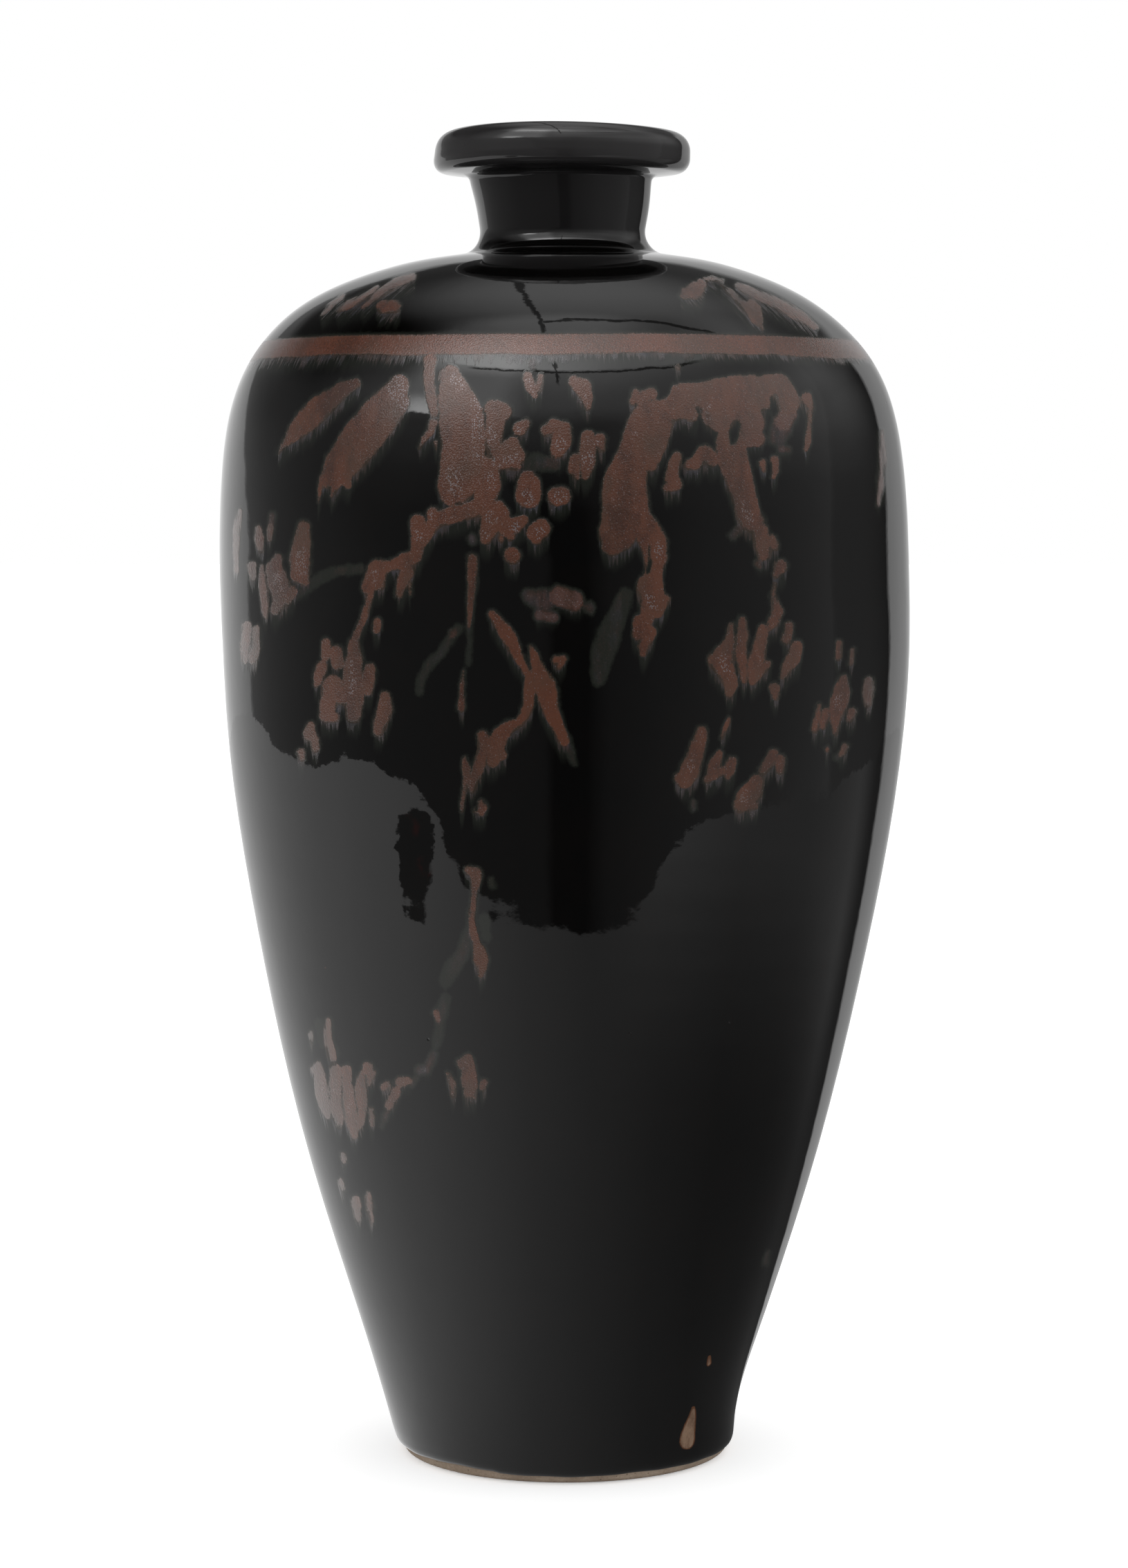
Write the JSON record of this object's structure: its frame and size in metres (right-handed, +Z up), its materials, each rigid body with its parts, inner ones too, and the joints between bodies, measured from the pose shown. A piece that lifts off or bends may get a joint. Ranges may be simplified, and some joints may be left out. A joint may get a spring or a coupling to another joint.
{
  "type": "meiping vase",
  "caption": "Tall dark-glazed meiping vase with high round shoulders, a short neck, a flange lip and a bare turned foot ring.",
  "frame": {"origin": "centre of the foot ring on the plane that the vase stands on", "axes": "+Z up along the axis of revolution, -Y towards the side of the vase that the picture shows"},
  "size_m": [0.2286, 0.2286, 0.441],
  "materials": {
    "stoneware_body": "bare fired buff-grey clay, matt and slightly gritty",
    "luting_slip": "bare fired slip, matt",
    "dark_glaze": "glossy brown-black glaze with russet iron brushwork",
    "liner_glaze": "thinner, browner glaze, satin gloss",
    "russet_iron": "russet iron pigment melted into the glaze"
  },
  "bodies": {
    "root": {"foot_section": "stoneware_body", "body_section": "stoneware_body", "shoulder_section": "stoneware_body", "neck": "stoneware_body", "lower_luting_seam": "luting_slip", "upper_luting_seam": "luting_slip", "neck_luting_seam": "luting_slip", "outer_glaze": "dark_glaze", "inner_glaze": "liner_glaze", "shoulder_band": "russet_iron"}
  },
  "joints": []
}
